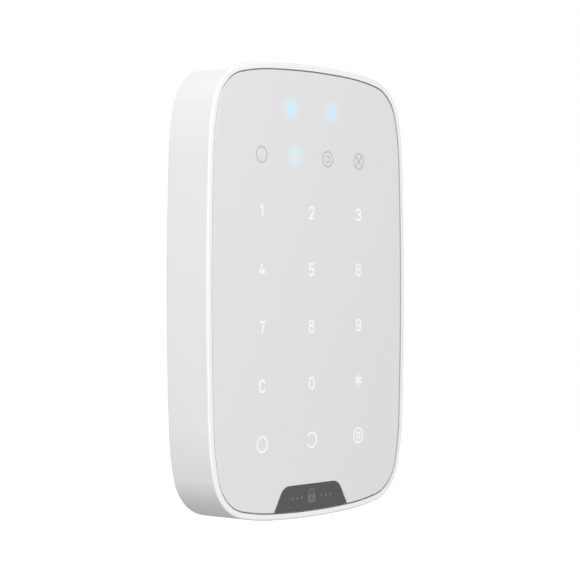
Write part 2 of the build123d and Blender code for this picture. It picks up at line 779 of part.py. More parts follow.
with BuildPart() as flex_connector:
    with BuildSketch(level(BOARD_FRONT)):
        with Locations((0, CONNECTOR_Z)):
            Rectangle(FLEX_W + 4, CONNECTOR_H)
    extrude(amount=2.0)
    with BuildSketch(floor_plane(CONNECTOR_Z - CONNECTOR_H / 2)):
        with Locations((0, FLEX_Y1)):
            Rectangle(FLEX_W + 0.4, 0.5)
    extrude(amount=3.5, mode=Mode.SUBTRACT)
save(flex_connector, "flex_connector")

# Ribbon: down the touch board's back, round a half turn and up into the connector
with BuildPart() as touch_flex:
    with BuildLine() as flex_path:
        Line((0, FLEX_Y0, 3), (0, FLEX_Y0, FLEX_TURN_Z))
        ThreePointArc(
            (0, FLEX_Y0, FLEX_TURN_Z),
            (0, (FLEX_Y0 + FLEX_Y1) / 2, FLEX_TURN_Z - (FLEX_Y1 - FLEX_Y0) / 2),
            (0, FLEX_Y1, FLEX_TURN_Z),
        )
        Line((0, FLEX_Y1, FLEX_TURN_Z), (0, FLEX_Y1, CONNECTOR_Z + 0.5))
    with BuildSketch(floor_plane(3)):
        with Locations((0, FLEX_Y0)):
            Rectangle(FLEX_W, FLEX_T)
    sweep(path=flex_path.line)
save(touch_flex, "touch_flex")

# ---------------------------------------------------------------- tamper switch and plunger
with BuildPart() as tamper_switch:
    with BuildSketch(level(SWITCH_TOP)):
        with Locations((0, PLUNGER_Z)):
            Rectangle(6, 6)
    extrude(amount=SWITCH_TOP - BOARD_BACK)
    with BuildSketch(level(SWITCH_TOP + 0.3)):
        with Locations((0, PLUNGER_Z)):
            Circle(1.0)
    extrude(amount=0.3)
save(tamper_switch, "tamper_switch")

PLUNGER_AXIS = Plane(origin=(0, 0, PLUNGER_Z), x_dir=(1, 0, 0), z_dir=(0, 0, 1))
with BuildPart() as tamper_plunger:
    with BuildSketch(PLUNGER_AXIS):
        with BuildLine():
            Polyline(
                (0, SWITCH_TOP + 0.35),
                (PLUNGER_STEM_R, SWITCH_TOP + 0.35),
                (PLUNGER_STEM_R, SPRING_END),
                (PLUNGER_FLANGE_R, SPRING_END),
                (PLUNGER_FLANGE_R, FLANGE_REST),
                (PLUNGER_R, FLANGE_REST),
                (PLUNGER_R, PLUNGER_TIP - PLUNGER_NOSE),
                (PLUNGER_R / 3, PLUNGER_TIP),
                (0, PLUNGER_TIP),
                close=True,
            )
        make_face()
    revolve(axis=Axis((0, 0, PLUNGER_Z), (0, 1, 0)))
save(tamper_plunger, "tamper_plunger")

# ---------------------------------------------------------------- coil springs
def coil(radius, wire_r, low, high, turns):
    """Round-wire compression spring along +Z from low to high, its wire kept inside both."""
    height = high - low - 2 * wire_r
    with BuildLine() as path:
        Helix(pitch=height / turns, height=height, radius=radius, center=(0, 0, low + wire_r))
    with BuildSketch(Plane(origin=path.line @ 0, z_dir=path.line % 0)) as wire:
        Circle(wire_r)
    sweep(wire.sketch, path=path.line, is_frenet=True)


with BuildPart() as spring_blank:
    coil(1.5, 0.18, 0.02, SPRING_END - SWITCH_TOP - 0.02, 3)
with BuildPart() as tamper_spring:
    add(spring_blank.part.rotate(Axis.X, -90).moved(Location((0, SWITCH_TOP, PLUNGER_Z))))
save(tamper_spring, "tamper_spring")

# ---------------------------------------------------------------- power button and switch
with BuildPart() as power_button:
    with BuildSketch(level(BUTTON_BACK)):
        with Locations((POWER_X, POWER_Z)):
            Circle(2.7)
    extrude(amount=BUTTON_BACK - COVER_FRONT + 0.1)
    fillet(power_button.edges().filter_by(GeomType.CIRCLE).sort_by(Axis.Y)[-1], radius=0.4)
    with BuildSketch(level(COVER_FRONT - 0.1)):
        with Locations((POWER_X, POWER_Z)):
            Circle(3.6)
    extrude(amount=0.8)
    with BuildSketch(level(COVER_FRONT - 0.9)):
        with Locations((POWER_X, POWER_Z)):
            Circle(1.0)
    extrude(amount=COVER_FRONT - 0.9 - (POWER_SWITCH_TOP + 0.8))
save(power_button, "power_button")

with BuildPart() as power_switch:
    with BuildSketch(level(POWER_SWITCH_TOP)):
        with Locations((POWER_X, POWER_Z)):
            Rectangle(5, 5)
    extrude(amount=POWER_SWITCH_TOP - BOARD_BACK)
    with BuildSketch(level(POWER_SWITCH_TOP)):
        with Locations((POWER_X, POWER_Z)):
            Circle(1.25)
    extrude(amount=0.9, mode=Mode.SUBTRACT)
save(power_switch, "power_switch")

with BuildPart() as power_switch_plunger:
    with BuildSketch(level(POWER_SWITCH_TOP + 0.8)):
        with Locations((POWER_X, POWER_Z)):
            Circle(1.2)
    extrude(amount=1.1)
save(power_switch_plunger, "power_switch_plunger")

# ---------------------------------------------------------------- batteries
with BuildPart() as battery_holder:
    with BuildSketch(level(HOLDER_BACK)):
        with Locations((0, BATTERY_Z)):
            RectangleRounded(2 * HOLDER_HALF_W, 2 * HOLDER_HALF_H, 2)
    extrude(amount=HOLDER_BACK - HOLDER_FRONT)
    with BuildSketch(level(HOLDER_EAR_BACK)):
        with Locations(*both_sides(((HOLDER_HALF_W + 3.4, BATTERY_Z),))):
            Rectangle(8.0, 8.0)
        with Locations(*both_sides((HOLDER_SCREW,))):
            Circle(2.9)
    extrude(amount=HOLDER_EAR_T)
    with BuildSketch(level(HOLDER_EAR_BACK)):
        with Locations(*both_sides((HOLDER_SCREW,))):
            Circle(PILOT_R + 0.3)
    extrude(amount=HOLDER_EAR_T, mode=Mode.SUBTRACT)

    # Four troughs: round in front, open to the back
    for side in (-1, 1):
        start = CONTACT_IN if side > 0 else -(CONTACT_OUT + CONTACT_T)
        with BuildSketch(side_plane(start)):
            for z in CELL_ROWS:
                with Locations((CELL_Y, z)):
                    Circle(CELL_R + 0.15)
                    Rectangle(12, 2 * (CELL_R + 0.15), align=(Align.MIN, Align.CENTER))
        extrude(amount=CONTACT_OUT + CONTACT_T - CONTACT_IN, mode=Mode.SUBTRACT)
save(battery_holder, "battery_holder")

cell_places = [(side, z) for z in CELL_ROWS for side in (-1, 1)]
for number, (side, z) in enumerate(cell_places, start=1):
    with BuildPart() as cell:
        with BuildSketch(side_plane(side * CELL_START)):
            with Locations((CELL_Y, z)):
                Circle(CELL_R)
        extrude(amount=side * (CELL_END - CELL_START))
        fillet(cell.edges().filter_by(GeomType.CIRCLE), radius=0.6)
        with BuildSketch(side_plane(side * CELL_START)):
            with Locations((CELL_Y, z)):
                Circle(NUB_R)
        extrude(amount=side * (CONTACT_IN + CONTACT_T + 0.05 - CELL_START))
    save(cell, f"battery_cell_{number}")

with BuildPart() as battery_contacts:
    for side in (-1, 1):
        for x in (CONTACT_IN, CONTACT_OUT):
            with BuildSketch(side_plane(side * x)):
                for z in CELL_ROWS:
                    with Locations((CELL_Y, z)):
                        Rectangle(CONTACT_W, CONTACT_W)
            extrude(amount=side * CONTACT_T)
save(battery_contacts, "battery_contacts")

with BuildPart() as cell_spring_blank:
    coil(3.4, 0.3, CELL_END + 0.02, CONTACT_OUT - 0.02, 2.5)
with BuildPart() as battery_springs:
    for z in CELL_ROWS:
        placed = cell_spring_blank.part.rotate(Axis.Y, 90).moved(Location((0, CELL_Y, z)))
        add(placed)
        add(mirror(placed, about=Plane.YZ, mode=Mode.PRIVATE))
save(battery_springs, "battery_springs")

# Two short leads from the holder's top edge to the front of the main board
for name, x in (("battery_lead_positive", 8.0), ("battery_lead_negative", 12.0)):
    with BuildPart() as lead:
        with BuildLine() as lead_path:
            FilletPolyline(
                (x, LEAD_Y, BATTERY_Z + HOLDER_HALF_H),
                (x, LEAD_Y, BOARD_LOW + 5.0),
                (x, BOARD_FRONT, BOARD_LOW + 5.0),
                radius=2.0,
            )
        with BuildSketch(Plane(origin=(x, LEAD_Y, BATTERY_Z + HOLDER_HALF_H), z_dir=(0, 0, 1))):
            Circle(LEAD_R)
        sweep(path=lead_path.line)
    save(lead, name)

# ---------------------------------------------------------------- wall bracket
def bracket_outline():
    """Inside the housing's wall both when the keypad hangs and when it is lifted by the slide."""
    body_face(WALL + BRACKET_GAP)
    body_face(WALL + BRACKET_GAP, mode=Mode.INTERSECT, rise=SLIDE)


def arrow_up(z):
    """Mounting-direction arrow, as a plain shape."""
    with BuildLine() as edge:
        Polyline((-4, z), (0, z + 5), (4, z), (1.5, z), (1.5, z - 6), (-1.5, z - 6), (-1.5, z), close=True)
    make_face(edge.line)


with BuildPart() as mounting_bracket:
    with BuildSketch(level(0)):
        bracket_outline()
        with Locations((0, -70)):
            Rectangle(2 * FLANGE_HALF, 14, align=(Align.CENTER, Align.MAX))
        body_face(0.1, mode=Mode.INTERSECT)
        with Locations((0, BATTERY_Z + SLIDE / 2)):
            RectangleRounded(
                HUMP_W + 2 * WINDOW_GAP, HUMP_H + SLIDE + 2 * WINDOW_GAP, 3.5, mode=Mode.SUBTRACT
            )
        with Locations(*both_sides((SIDE_WINDOW,))):
            RectangleRounded(SIDE_WINDOW_W, SIDE_WINDOW_H, 3, mode=Mode.SUBTRACT)
        # Perforation round the break-away tab
        with Locations((0, TAB_Z - TAB_H / 2), (0, TAB_Z + TAB_H / 2)):
            with GridLocations(PERFORATION_PITCH, 1, 4, 1):
                SlotOverall(PERFORATION_L, PERFORATION_W, mode=Mode.SUBTRACT)
        with Locations((-TAB_W / 2, TAB_Z), (TAB_W / 2, TAB_Z)):
            with GridLocations(1, PERFORATION_PITCH, 1, 6):
                SlotOverall(PERFORATION_L, PERFORATION_W, rotation=90, mode=Mode.SUBTRACT)
    extrude(amount=-BRACKET_FRONT)

    # Flange under the housing's bottom edge
    with BuildSketch(level(0)):
        body_face(0.1)
        body_face(0.1 + FLANGE_T, mode=Mode.SUBTRACT)
        with Locations((0, -HEIGHT / 2)):
            Rectangle(2 * FLANGE_HALF, 12, mode=Mode.INTERSECT)
    extrude(amount=-FLANGE_FRONT)

    # Wall-screw holes and the tab's hole, countersunk from the front
    with Locations(level(BRACKET_FRONT)):
        with Locations(*both_sides(((WALL_HOLE_X, WALL_HOLE_Z), (WALL_HOLE_X, -WALL_HOLE_Z)))):
            CounterSinkHole(WALL_HOLE_R, WALL_SINK_R, depth=-BRACKET_FRONT + 0.01, counter_sink_angle=90)
        with Locations((0, TAB_HOLE_Z)):
            CounterSinkHole(TAB_HOLE_R, TAB_SINK_R, depth=-BRACKET_FRONT + 0.01, counter_sink_angle=90)

    # Ramp that lets the plunger out as the keypad is lifted
    ramp_deep = BRACKET_FRONT + PLUNGER_TRAVEL
    with BuildSketch(side_plane(-2.4)):
        with BuildLine():
            Polyline(
                (BRACKET_FRONT - 1, PLUNGER_Z),
                (BRACKET_FRONT, PLUNGER_Z),
                (ramp_deep, PLUNGER_Z + SLIDE),
                (ramp_deep, PLUNGER_Z + SLIDE + 2.6),
                (BRACKET_FRONT - 1, PLUNGER_Z + SLIDE + 2.6),
                close=True,
            )
        make_face()
    extrude(amount=4.8, mode=Mode.SUBTRACT)

    # Hooks: a post through the rear cover and a finger that rises in front of it
    for x, z in HOOKS:
        with BuildSketch(side_plane(x - HOOK_W / 2)):
            with BuildLine():
                Polyline(
                    (BRACKET_FRONT + 0.5, z),
                    (HOOK_FRONT, z),
                    (HOOK_FRONT, z + HOOK_POST_H + HOOK_FINGER_H - 0.9),
                    (HOOK_FRONT + 0.5, z + HOOK_POST_H + HOOK_FINGER_H),
                    (HOOK_BACK, z + HOOK_POST_H + HOOK_FINGER_H),
                    (HOOK_BACK, z + HOOK_POST_H),
                    (BRACKET_FRONT + 0.5, z + HOOK_POST_H),
                    close=True,
                )
            make_face()
        extrude(amount=HOOK_W)

    # Counterbored hole for the retaining screw, from below
    with BuildSketch(floor_plane(-HEIGHT / 2 - 1)):
        with Locations((0, SCREW_Y)):
            Circle(COUNTERBORE_R)
    extrude(amount=WASHER_TOP_Z + 0.02 + HEIGHT / 2 + 1, mode=Mode.SUBTRACT)
    with BuildSketch(floor_plane(-HEIGHT / 2 - 1)):
        with Locations((0, SCREW_Y)):
            Circle(FLANGE_HOLE_R)
    extrude(amount=6, mode=Mode.SUBTRACT)

    # Shallow relief pockets and an arrow in the back, which leave ribs and screw pads
    with BuildSketch(level(0)):
        with Locations((-16.5, 60), (16.5, 60)):
            RectangleRounded(15, 24, 2)
        arrow_up(60)
        with Locations((0, -65.6)):
            RectangleRounded(26, 7, 1.5)
    extrude(amount=0.7, mode=Mode.SUBTRACT)
save(mounting_bracket, "mounting_bracket")

# ---------------------------------------------------------------- retaining screw
SCREW_AXIS_PLANE = Plane(origin=(0, SCREW_Y, 0), x_dir=(1, 0, 0), z_dir=(0, -1, 0))
with BuildPart() as retaining_screw:
    with BuildSketch(SCREW_AXIS_PLANE):
        with BuildLine():
            Polyline(
                (0, WASHER_LOW_Z - HEAD_H),
                (SCREW_HEAD_R - 0.3, WASHER_LOW_Z - HEAD_H),
                (SCREW_HEAD_R, WASHER_LOW_Z - HEAD_H + 0.3),
                (SCREW_HEAD_R, WASHER_LOW_Z - 0.02),
                (SCREW_NECK_R, WASHER_LOW_Z - 0.02),
                (SCREW_NECK_R, WASHER_TOP_Z + 0.3),
                (SCREW_R, WASHER_TOP_Z + 0.5),
                (SCREW_R, SCREW_TIP_Z - 0.6),
                (SCREW_R - 0.6, SCREW_TIP_Z),
                (0, SCREW_TIP_Z),
                close=True,
            )
        make_face()
    revolve(axis=Axis((0, SCREW_Y, 0), (0, 0, 1)))
    with BuildSketch(floor_plane(WASHER_LOW_Z - HEAD_H)):
        with Locations((0, SCREW_Y)):
            Rectangle(3.2, 0.7)
            Rectangle(0.7, 3.2)
    extrude(amount=0.9, mode=Mode.SUBTRACT)
save(retaining_screw, "retaining_screw")

with BuildPart() as retaining_washer:
    with BuildSketch(floor_plane(WASHER_LOW_Z)):
        with Locations((0, SCREW_Y)):
            Circle(WASHER_R)
            Circle(SCREW_NECK_R + 0.06, mode=Mode.SUBTRACT)
    extrude(amount=WASHER_T)
save(retaining_washer, "retaining_washer")
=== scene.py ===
import json
from math import cos, pi, radians, sin

import bmesh
import bpy
from mathutils import Matrix, Vector


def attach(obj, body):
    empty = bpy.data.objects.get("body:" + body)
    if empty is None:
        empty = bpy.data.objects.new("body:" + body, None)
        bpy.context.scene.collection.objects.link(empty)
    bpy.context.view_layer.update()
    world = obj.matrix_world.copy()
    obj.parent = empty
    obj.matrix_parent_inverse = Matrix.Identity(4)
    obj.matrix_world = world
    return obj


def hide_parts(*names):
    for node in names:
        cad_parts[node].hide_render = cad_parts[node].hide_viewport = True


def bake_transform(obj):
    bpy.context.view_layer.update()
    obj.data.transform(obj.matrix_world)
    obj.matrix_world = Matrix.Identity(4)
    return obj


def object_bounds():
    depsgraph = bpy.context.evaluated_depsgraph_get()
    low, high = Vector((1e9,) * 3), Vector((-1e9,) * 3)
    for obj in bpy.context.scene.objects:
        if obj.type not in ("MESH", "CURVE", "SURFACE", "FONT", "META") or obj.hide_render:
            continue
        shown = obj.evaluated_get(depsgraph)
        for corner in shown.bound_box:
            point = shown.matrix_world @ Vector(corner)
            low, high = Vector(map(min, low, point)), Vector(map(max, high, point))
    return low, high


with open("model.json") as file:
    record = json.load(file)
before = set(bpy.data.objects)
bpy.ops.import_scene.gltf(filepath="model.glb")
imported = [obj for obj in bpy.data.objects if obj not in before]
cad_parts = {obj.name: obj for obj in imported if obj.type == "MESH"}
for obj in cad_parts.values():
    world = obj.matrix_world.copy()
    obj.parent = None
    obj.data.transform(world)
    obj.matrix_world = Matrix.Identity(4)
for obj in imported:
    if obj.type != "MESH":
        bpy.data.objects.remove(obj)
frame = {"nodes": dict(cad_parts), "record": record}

CAD_BOX = [list(corner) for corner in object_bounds()]
MM = 0.001

# ---------------------------------------------------------------- camera
# The photograph looks at the keypad from its left, almost level with its middle.
AZIMUTH = radians(-49.97)
ELEVATION = radians(0.312)
DISTANCE = 0.7268
LENS_MM = 122.35
SENSOR_MM = 36.0
AIM_RIGHT = 0.000345
AIM_UP = -0.000394
CLIP_START = 0.01


def add_camera():
    """Camera at the photograph's angle, aimed at the middle of the CAD box."""
    low, high = (Vector(corner) for corner in CAD_BOX)
    middle = (low + high) / 2
    back = Vector((
        sin(AZIMUTH) * cos(ELEVATION),
        -cos(AZIMUTH) * cos(ELEVATION),
        sin(ELEVATION),
    ))
    right = (-back).cross(Vector((0, 0, 1))).normalized()
    up = right.cross(-back)
    data = bpy.data.cameras.new("camera")
    data.lens = LENS_MM
    data.sensor_width = SENSOR_MM
    data.clip_start = CLIP_START
    camera = bpy.data.objects.new("camera", data)
    bpy.context.scene.collection.objects.link(camera)
    camera.matrix_world = Matrix((right, up, back)).transposed().to_4x4()
    camera.location = middle + back * DISTANCE - right * AIM_RIGHT - up * AIM_UP
    bpy.context.scene.camera = camera


# ---------------------------------------------------------------- light, floor and background
FLOOR_Z = -0.6
FLOOR_SIZE = 12.0
FLOOR_TONE, FLOOR_ROUGHNESS, FLOOR_GLOW = 0.8, 0.9, 0.75
LIGHT_BELOW = 0.51
LIGHT_ABOVE = 0.44
LIGHT_REFLECTED = 0.15
HORIZON_SPREAD = 0.35
SOFTBOX_SIZE = 0.8
KEY_PLACE, KEY_WATTS = (-0.85, -0.8, 0.75), 15.5
FILL_PLACE, FILL_WATTS = (0.5, -1.1, -0.7), 3.2
REAR_PLACE, REAR_WATTS = (0.7, 1.2, 0.45), 9.0


def add_world():
    """White studio: pure white to the camera, dim in reflections, a little brighter from below."""
    world = bpy.data.worlds.new("studio")
    world.use_nodes = True
    nodes, links = world.node_tree.nodes, world.node_tree.links
    nodes.clear()
    rays = nodes.new("ShaderNodeLightPath")

    def background(strength):
        node = nodes.new("ShaderNodeBackground")
        node.inputs["Color"].default_value = (1, 1, 1, 1)
        node.inputs["Strength"].default_value = strength
        return node

    def choose(ray, otherwise, chosen):
        node = nodes.new("ShaderNodeMixShader")
        links.new(rays.outputs[ray], node.inputs["Fac"])
        links.new(otherwise, node.inputs[1])
        links.new(chosen, node.inputs[2])
        return node.outputs["Shader"]

    place = nodes.new("ShaderNodeTexCoord")
    split = nodes.new("ShaderNodeSeparateXYZ")
    height = nodes.new("ShaderNodeMapRange")
    height.interpolation_type = "SMOOTHSTEP"
    height.inputs["From Min"].default_value = -HORIZON_SPREAD
    height.inputs["From Max"].default_value = HORIZON_SPREAD
    height.inputs["To Min"].default_value = LIGHT_BELOW
    height.inputs["To Max"].default_value = LIGHT_ABOVE
    links.new(place.outputs["Generated"], split.inputs["Vector"])
    links.new(split.outputs["Z"], height.inputs["Value"])
    lit = background(1.0)
    links.new(height.outputs["Result"], lit.inputs["Strength"])
    reflected = background(LIGHT_REFLECTED)
    shown = choose("Is Glossy Ray", lit.outputs["Background"], reflected.outputs["Background"])
    shown = choose("Is Camera Ray", shown, background(1.0).outputs["Background"])
    output = nodes.new("ShaderNodeOutputWorld")
    links.new(shown, output.inputs["Surface"])
    bpy.context.scene.world = world


def add_softbox(name, place, watts):
    """Square soft white light at place, turned towards the keypad."""
    data = bpy.data.lights.new(name, "AREA")
    data.shape = "SQUARE"
    data.size = SOFTBOX_SIZE
    data.energy = watts
    lamp = bpy.data.objects.new(name, data)
    bpy.context.scene.collection.objects.link(lamp)
    lamp.location = place
    lamp.rotation_euler = (-Vector(place)).to_track_quat("-Z", "Y").to_euler()


def add_floor():
    """Plain white floor, well below the wall-mounted keypad, which it neither lights nor shades."""
    half = FLOOR_SIZE / 2
    mesh = bpy.data.meshes.new("floor")
    corners = [(x * half, y * half, FLOOR_Z) for x, y in ((-1, -1), (1, -1), (1, 1), (-1, 1))]
    mesh.from_pydata(corners, [], [(0, 1, 2, 3)])
    floor = bpy.data.objects.new("floor", mesh)
    bpy.context.scene.collection.objects.link(floor)
    paint = bpy.data.materials.new("floor_white")
    paint.use_nodes = True
    shader = paint.node_tree.nodes["Principled BSDF"]
    shader.inputs["Base Color"].default_value = (FLOOR_TONE, FLOOR_TONE, FLOOR_TONE, 1)
    shader.inputs["Roughness"].default_value = FLOOR_ROUGHNESS
    shader.inputs["Specular IOR Level"].default_value = 0.0
    shader.inputs["Emission Color"].default_value = (1, 1, 1, 1)
    shader.inputs["Emission Strength"].default_value = FLOOR_GLOW
    mesh.materials.append(paint)
    floor.visible_diffuse = False
    floor.visible_glossy = False
    floor.visible_shadow = False


# ---------------------------------------------------------------- materials
PANEL_FACE_Y = -0.0199
# Metres that a face looks inwards: full painted shade at the first, none at the second
INWARDS_FULL, INWARDS_NONE = -0.02, -0.002


class Surface:
    """Procedural material in object space, where one unit is one metre."""

    def __init__(self, name, color, roughness, metallic=0.0, specular=0.5, coat=0.0):
        self.material = bpy.data.materials.new(name)
        self.material.use_nodes = True
        self.nodes = self.material.node_tree.nodes
        self.links = self.material.node_tree.links
        self.shader = self.nodes["Principled BSDF"]
        self.color = color
        self.roughness = roughness
        self.shader.inputs["Base Color"].default_value = (*color, 1)
        self.shader.inputs["Roughness"].default_value = roughness
        self.shader.inputs["Metallic"].default_value = metallic
        self.shader.inputs["Specular IOR Level"].default_value = specular
        self.shader.inputs["Coat Weight"].default_value = coat
        self.place = self.nodes.new("ShaderNodeTexCoord").outputs["Object"]
        self.normal = None

    def noise(self, size_mm, detail=3.0, roughness=0.55):
        """Noise whose blotches are about size_mm across."""
        node = self.nodes.new("ShaderNodeTexNoise")
        node.inputs["Scale"].default_value = 1 / (size_mm * MM)
        node.inputs["Detail"].default_value = detail
        node.inputs["Roughness"].default_value = roughness
        self.links.new(self.place, node.inputs["Vector"])
        return node.outputs["Fac"]

    def spread(self, value, low, high, start=0.3, end=0.7):
        """Value from start to end moved onto low to high."""
        node = self.nodes.new("ShaderNodeMapRange")
        node.inputs["From Min"].default_value = start
        node.inputs["From Max"].default_value = end
        node.inputs["To Min"].default_value = low
        node.inputs["To Max"].default_value = high
        self.links.new(value, node.inputs["Value"])
        return node.outputs["Result"]

    def tint(self, value, change=0.02):
        """Base colour that drifts by a small share either way with value."""
        node = self.nodes.new("ShaderNodeMix")
        node.data_type = "RGBA"
        node.inputs["A"].default_value = (*[c * (1 - change) for c in self.color], 1)
        node.inputs["B"].default_value = (*[min(1, c * (1 + change)) for c in self.color], 1)
        self.links.new(value, node.inputs["Factor"])
        self.links.new(node.outputs["Result"], self.shader.inputs["Base Color"])
        return self

    def paint_shade_inside(self, share):
        """Painted shade in the gap: darken faces that look towards the keypad's middle, such as the wall
        round the panel.
        """
        flat = self.nodes.new("ShaderNodeVectorMath")
        flat.operation = "MULTIPLY"
        flat.inputs[1].default_value = (1, 0, 1)
        self.links.new(self.place, flat.inputs[0])
        outwards = self.nodes.new("ShaderNodeVectorMath")
        outwards.operation = "DOT_PRODUCT"
        self.links.new(flat.outputs["Vector"], outwards.inputs[0])
        self.links.new(self.nodes.new("ShaderNodeTexCoord").outputs["Normal"], outwards.inputs[1])
        painted_shade = self.spread(outwards.outputs["Value"], share, 1.0, INWARDS_FULL, INWARDS_NONE)
        base = self.shader.inputs["Base Color"]
        scaled = self.nodes.new("ShaderNodeVectorMath")
        scaled.operation = "SCALE"
        self.links.new(base.links[0].from_socket, scaled.inputs[0])
        self.links.new(painted_shade, scaled.inputs["Scale"])
        self.links.new(scaled.outputs["Vector"], base)
        return self

    def gloss(self, value, change=0.08):
        """Roughness that varies either way with value."""
        varied = self.spread(value, self.roughness - change, self.roughness + change)
        self.links.new(varied, self.shader.inputs["Roughness"])
        return self

    def bump(self, value, height_mm, strength=0.5):
        """Relief from value, height_mm deep, added over any relief already there."""
        node = self.nodes.new("ShaderNodeBump")
        node.inputs["Strength"].default_value = strength
        node.inputs["Distance"].default_value = height_mm * MM
        self.links.new(value, node.inputs["Height"])
        if self.normal is not None:
            self.links.new(self.normal, node.inputs["Normal"])
        self.normal = node.outputs["Normal"]
        self.links.new(self.normal, self.shader.inputs["Normal"])
        return self

    def painted_glow(self, centers, start, end, strength):
        """Value that falls from strength to nothing between start and end mm from each (x, z) centre, for
        painted glow.
        """
        total = None
        for x, z in centers:
            away = self.nodes.new("ShaderNodeVectorMath")
            away.operation = "DISTANCE"
            away.inputs[1].default_value = (x * MM, PANEL_FACE_Y, z * MM)
            self.links.new(self.place, away.inputs[0])
            fade = self.nodes.new("ShaderNodeMapRange")
            fade.interpolation_type = "SMOOTHSTEP"
            fade.inputs["From Min"].default_value = start * MM
            fade.inputs["From Max"].default_value = end * MM
            fade.inputs["To Min"].default_value = strength
            fade.inputs["To Max"].default_value = 0.0
            self.links.new(away.outputs["Value"], fade.inputs["Value"])
            if total is None:
                total = fade.outputs["Result"]
                continue
            both = self.nodes.new("ShaderNodeMath")
            both.operation = "ADD"
            self.links.new(total, both.inputs[0])
            self.links.new(fade.outputs["Result"], both.inputs[1])
            total = both.outputs["Value"]
        return total

    def glow(self, color, strength):
        """Light given off, as by a lit window."""
        self.shader.inputs["Emission Color"].default_value = (*color, 1)
        self.shader.inputs["Emission Strength"].default_value = strength
        return self


def moulded_plastic(
    name, color, roughness=0.42, grain_mm=0.25, relief_mm=0.012, drift=0.012, inside_painted_shade=1.0
):
    """Injection-moulded plastic with a fine spark-eroded grain, a slight drift in gloss, and painted shade
    on inward-facing faces when the last argument is below one.
    """
    surface = Surface(name, color, roughness, specular=0.45)
    surface.tint(surface.noise(22, 2), drift)
    if inside_painted_shade < 1:
        # Painted shade on faces that look inwards, for the shadow in the gap round the panel
        surface.paint_shade_inside(inside_painted_shade)
    surface.gloss(surface.noise(6, 4), 0.06)
    surface.bump(surface.noise(grain_mm, 2), relief_mm, 0.35)
    return surface.material


LIT_COLOR = (0.55, 0.76, 1.0)
LIT_MARKS = ((-11.4, 66.0), (11.4, 66.0), (-9.3, 48.65))
# Painted glow round the lit marks: it fades out between these distances in mm from each mark
HALO_START, HALO_END = 2.0, 5.6
HALO_STRENGTH = 0.07


def coated_panel(name, color):
    """Satin hard-coated face plate: very fine sparkle in the gloss, and painted glow of the lit marks'
    light round them.
    """
    surface = Surface(name, color, 0.34, specular=0.4, coat=0.12)
    surface.shader.inputs["Coat Roughness"].default_value = 0.25
    surface.tint(surface.noise(45, 1), 0.006)
    surface.gloss(surface.noise(0.35, 2), 0.05)
    surface.bump(surface.noise(0.12, 1), 0.004, 0.25)
    # Painted glow: emission on the panel that fades out round each lit mark
    painted_glow = surface.painted_glow(LIT_MARKS, HALO_START, HALO_END, HALO_STRENGTH)
    surface.shader.inputs["Emission Color"].default_value = (*LIT_COLOR, 1)
    surface.links.new(painted_glow, surface.shader.inputs["Emission Strength"])
    return surface.material


def print_ink(name, color, glow=None, strength=0.0):
    """Thin print or lit window, with slightly uneven ink."""
    surface = Surface(name, color, 0.38, specular=0.4)
    surface.tint(surface.noise(0.6, 3), 0.015)
    surface.gloss(surface.noise(0.3, 2), 0.05)
    surface.bump(surface.noise(0.15, 1), 0.003, 0.2)
    if glow:
        surface.glow(glow, strength)
    return surface.material


def metal(name, color, roughness=0.3, scratch_mm=0.4):
    """Plated metal with fine scratches and dulled patches."""
    surface = Surface(name, color, roughness, metallic=1.0)
    surface.tint(surface.noise(3, 3), 0.06)
    surface.gloss(surface.noise(1.2, 5), 0.1)
    surface.bump(surface.noise(scratch_mm, 4), 0.006, 0.3)
    return surface.material


def circuit_board(name, color):
    """Solder mask with the faint relief of tracks under it."""
    surface = Surface(name, color, 0.35, specular=0.5, coat=0.2)
    tracks = surface.nodes.new("ShaderNodeTexBrick")
    tracks.inputs["Scale"].default_value = 1 / (9 * MM)
    tracks.inputs["Mortar Size"].default_value = 0.03
    tracks.inputs["Color1"].default_value = (*color, 1)
    tracks.inputs["Color2"].default_value = (*[c * 1.12 for c in color], 1)
    tracks.inputs["Mortar"].default_value = (*[c * 1.7 for c in color], 1)
    turned = surface.nodes.new("ShaderNodeMapping")
    turned.inputs["Rotation"].default_value = (pi / 2, 0, 0)
    surface.links.new(surface.place, turned.inputs["Vector"])
    surface.links.new(turned.outputs["Vector"], tracks.inputs["Vector"])
    surface.links.new(tracks.outputs["Color"], surface.shader.inputs["Base Color"])
    surface.gloss(surface.noise(2, 3), 0.06)
    surface.bump(tracks.outputs["Fac"], 0.03, 0.4)
    return surface.material


def wrapped_cell(name, color):
    """Cell in a plain coloured sleeve with bare steel ends, banded along X."""
    surface = Surface(name, color, 0.28, specular=0.5, coat=0.4)
    split = surface.nodes.new("ShaderNodeSeparateXYZ")
    surface.links.new(surface.place, split.inputs["Vector"])
    away = surface.nodes.new("ShaderNodeMath")
    away.operation = "ABSOLUTE"
    surface.links.new(split.outputs["X"], away.inputs[0])
    band = surface.nodes.new("ShaderNodeValToRGB")
    band.color_ramp.interpolation = "CONSTANT"
    steel = (0.62, 0.62, 0.61, 1)
    sleeve, stripe = (*color, 1), (0.75, 0.76, 0.78, 1)
    stops = ((0.0, steel), (0.075, sleeve), (0.60, stripe), (0.64, sleeve), (0.895, steel))
    band.color_ramp.elements[0].color = stops[0][1]
    band.color_ramp.elements[1].position = stops[1][0]
    band.color_ramp.elements[1].color = stops[1][1]
    for position, tone in stops[2:]:
        band.color_ramp.elements.new(position).color = tone
    surface.links.new(surface.spread(away.outputs["Value"], 0, 1, 0, 0.04), band.inputs["Fac"])
    surface.links.new(band.outputs["Color"], surface.shader.inputs["Base Color"])
    surface.gloss(surface.noise(1.5, 3), 0.06)
    surface.bump(surface.noise(0.8, 2), 0.01, 0.2)
    return surface.material


